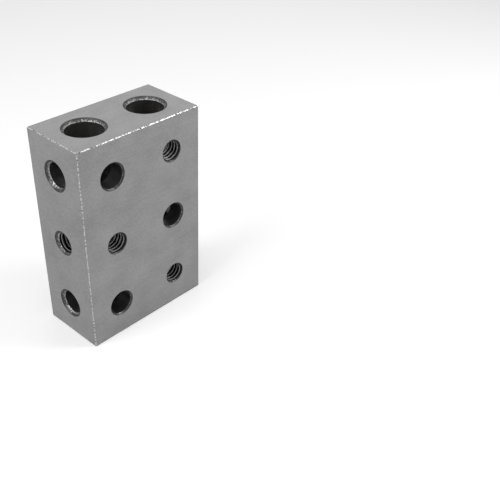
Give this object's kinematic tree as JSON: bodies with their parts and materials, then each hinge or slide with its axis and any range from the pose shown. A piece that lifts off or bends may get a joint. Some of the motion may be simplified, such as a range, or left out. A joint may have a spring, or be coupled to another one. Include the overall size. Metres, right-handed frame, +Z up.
{
  "type": "machinist setup block",
  "caption": "Hardened and ground steel parallel in 1, 2 and 3 inch sides, with plain and tapped stepped bores for setting up, spacing and clamping work.",
  "frame": {"origin": "centre of the 1 by 2 inch end that the block stands on", "axes": "+Z up along the 3 inch height, +X along the 2 inch width, +Y along the 1 inch thickness from the narrow-mouthed face to the wide-mouthed face"},
  "size_m": [0.0508, 0.0254, 0.0762],
  "materials": {
    "ground_steel": "hardened tool steel, surface ground on the six faces, dark heat-treatment skin in the bores"
  },
  "bodies": {
    "root": {"setup_block": "ground_steel"}
  },
  "joints": []
}
